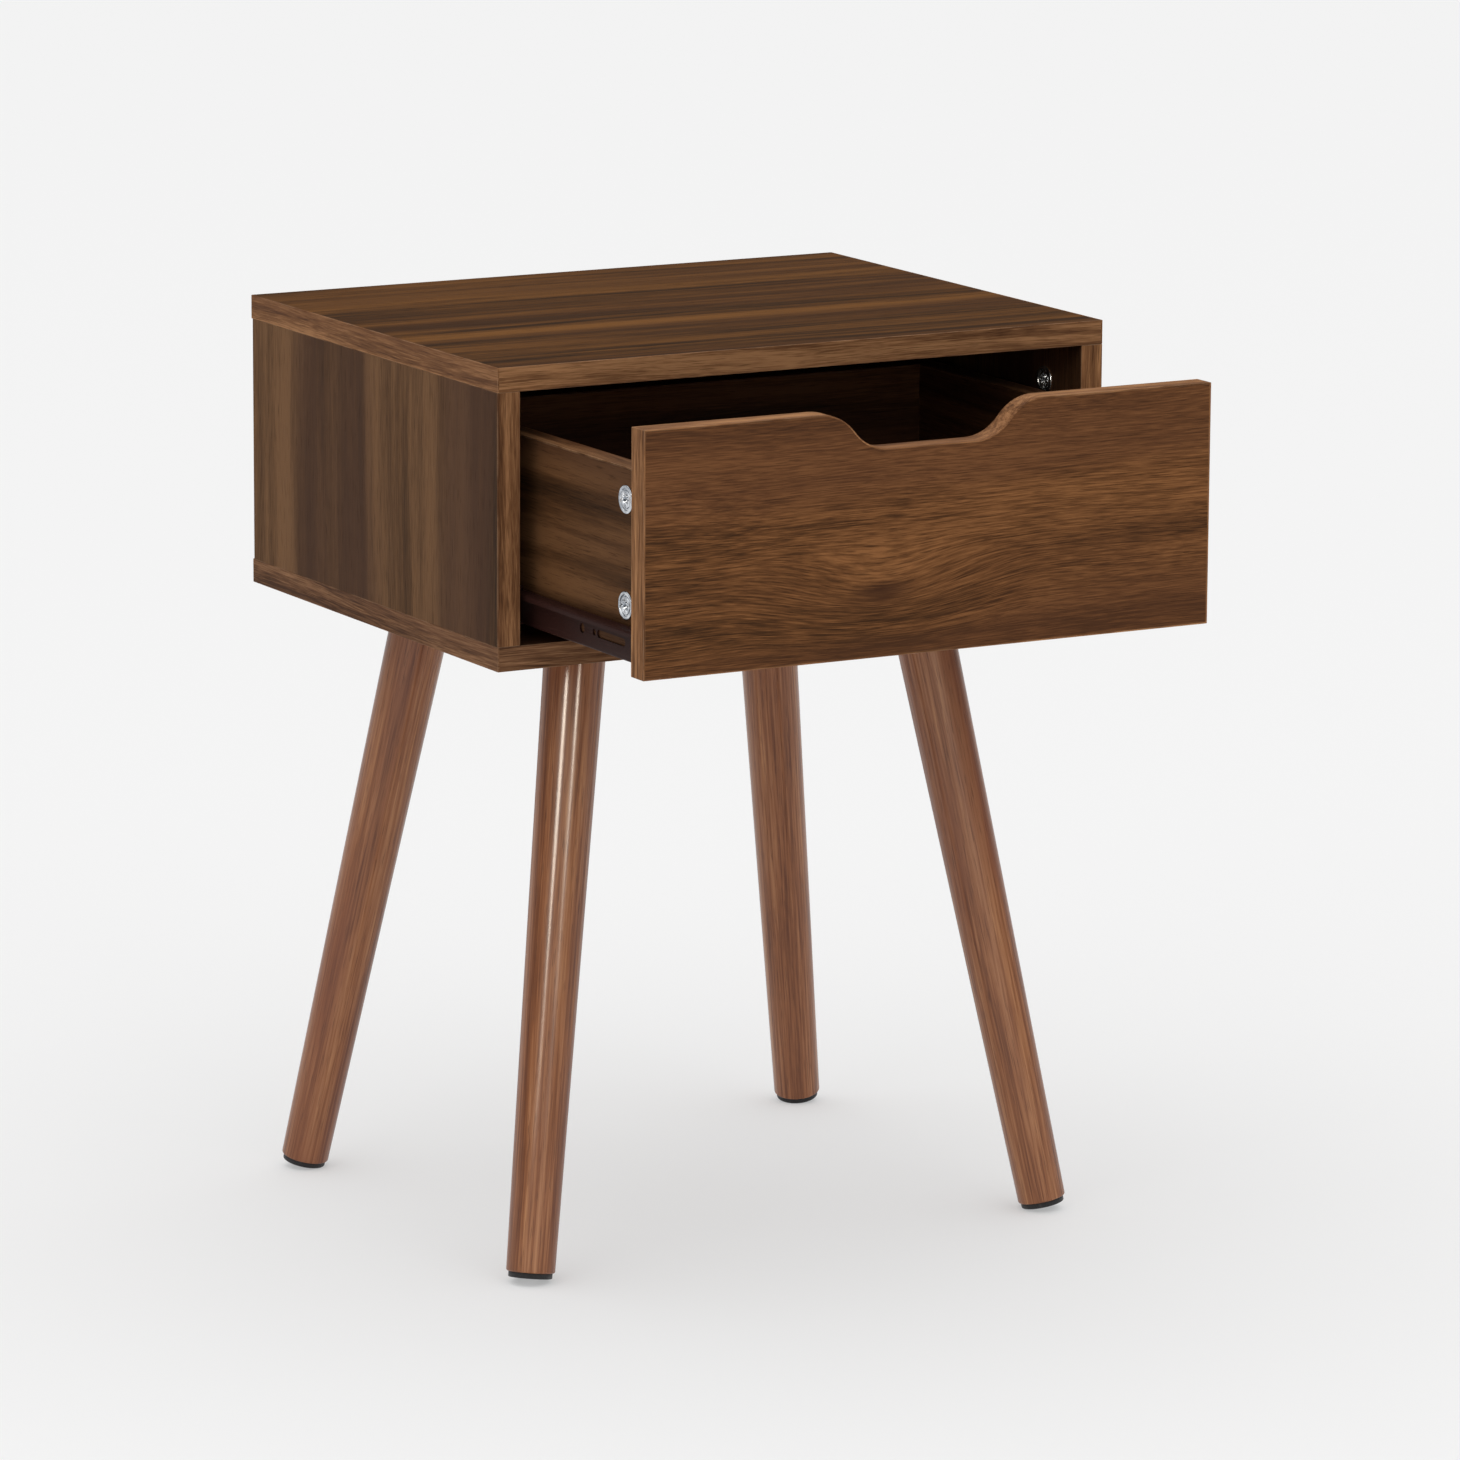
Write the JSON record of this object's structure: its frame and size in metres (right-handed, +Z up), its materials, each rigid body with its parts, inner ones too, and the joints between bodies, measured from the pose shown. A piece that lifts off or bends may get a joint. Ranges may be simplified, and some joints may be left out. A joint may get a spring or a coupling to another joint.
{
  "type": "nightstand with drawer",
  "caption": "Walnut nightstand: an edge-banded board case on splayed tapered legs, with an inset drawer that has a finger cut-out and runs on roller slides.",
  "frame": {"origin": "on the floor, under the middle of the case", "axes": "+X to the right of someone facing the drawer, +Y to the back, +Z up; the drawer opens towards -Y and is stored 150 mm open"},
  "size_m": [0.42, 0.4881, 0.565],
  "materials": {
    "walnut_board": "satin walnut foil over particle board",
    "edging": "satin walnut edge strip",
    "leg_wood": "glossy reddish brown lacquer",
    "thin_panel": "satin foil over hardboard",
    "dowel_wood": "bare fluted beech",
    "rail_steel": "dark brown powder coat",
    "roller_nylon": "moulded nylon",
    "cam_zinc": "bright zinc plate on die casting",
    "zinc_steel": "zinc plated steel",
    "foot_pad": "black felted rubber"
  },
  "bodies": {
    "case": {"top_panel": "walnut_board", "top_panel_edging": "edging", "bottom_panel": "walnut_board", "bottom_panel_edging": "edging", "left_side_panel": "walnut_board", "right_side_panel": "walnut_board", "left_side_edging": "edging", "right_side_edging": "edging", "back_panel": "thin_panel", "case_cam_nuts": "cam_zinc", "case_cam_bolts": "zinc_steel", "case_dowels": "dowel_wood", "case_screws": "zinc_steel", "left_case_rail": "rail_steel", "right_case_rail": "rail_steel", "case_rail_screws": "zinc_steel", "case_roller_rivets": "zinc_steel", "front_left_leg": "leg_wood", "front_right_leg": "leg_wood", "back_left_leg": "leg_wood", "back_right_leg": "leg_wood", "leg_nuts": "zinc_steel", "leg_bolts": "zinc_steel", "front_left_pad": "foot_pad", "front_right_pad": "foot_pad", "back_left_pad": "foot_pad", "back_right_pad": "foot_pad", "pad_nails": "zinc_steel"},
    "drawer": {"drawer_front": "walnut_board", "drawer_front_edging": "edging", "drawer_left_side": "walnut_board", "drawer_right_side": "walnut_board", "drawer_back": "walnut_board", "drawer_box_edging": "edging", "drawer_bottom": "thin_panel", "drawer_bottom_screws": "zinc_steel", "drawer_cam_nuts": "cam_zinc", "drawer_cam_bolts": "zinc_steel", "drawer_dowels": "dowel_wood", "drawer_back_screws": "zinc_steel", "left_drawer_rail": "rail_steel", "right_drawer_rail": "rail_steel", "drawer_rail_screws": "zinc_steel", "drawer_roller_rivets": "zinc_steel"},
    "left_case_roller": {"left_case_roller": "roller_nylon"},
    "right_case_roller": {"right_case_roller": "roller_nylon"},
    "left_drawer_roller": {"left_drawer_roller": "roller_nylon"},
    "right_drawer_roller": {"right_drawer_roller": "roller_nylon"}
  },
  "joints": [
    {"name": "drawer_slide", "type": "slide", "parent": "case", "child": "drawer", "axis": [0, -1, 0], "range_m": [-0.15, 0.075]},
    {"name": "left_case_roller_spin", "type": "hinge", "parent": "case", "child": "left_case_roller", "pos_m": [-0.18695, -0.138, 0.417], "axis": [1, 0, 0], "range_deg": [-1012, 506]},
    {"name": "right_case_roller_spin", "type": "hinge", "parent": "case", "child": "right_case_roller", "pos_m": [0.18695, -0.138, 0.417], "axis": [1, 0, 0], "range_deg": [-1012, 506]},
    {"name": "left_drawer_roller_spin", "type": "hinge", "parent": "drawer", "child": "left_drawer_roller", "pos_m": [-0.1873, -0.0115, 0.4177], "axis": [1, 0, 0], "range_deg": [-860, 430]},
    {"name": "right_drawer_roller_spin", "type": "hinge", "parent": "drawer", "child": "right_drawer_roller", "pos_m": [0.1873, -0.0115, 0.4177], "axis": [1, 0, 0], "range_deg": [-860, 430]}
  ],
  "couplings": [
    {"joint": "left_case_roller_spin", "follows": "drawer_slide", "rad_per_m": 117.65},
    {"joint": "right_case_roller_spin", "follows": "drawer_slide", "rad_per_m": 117.65},
    {"joint": "left_drawer_roller_spin", "follows": "drawer_slide", "rad_per_m": 100},
    {"joint": "right_drawer_roller_spin", "follows": "drawer_slide", "rad_per_m": 100}
  ]
}
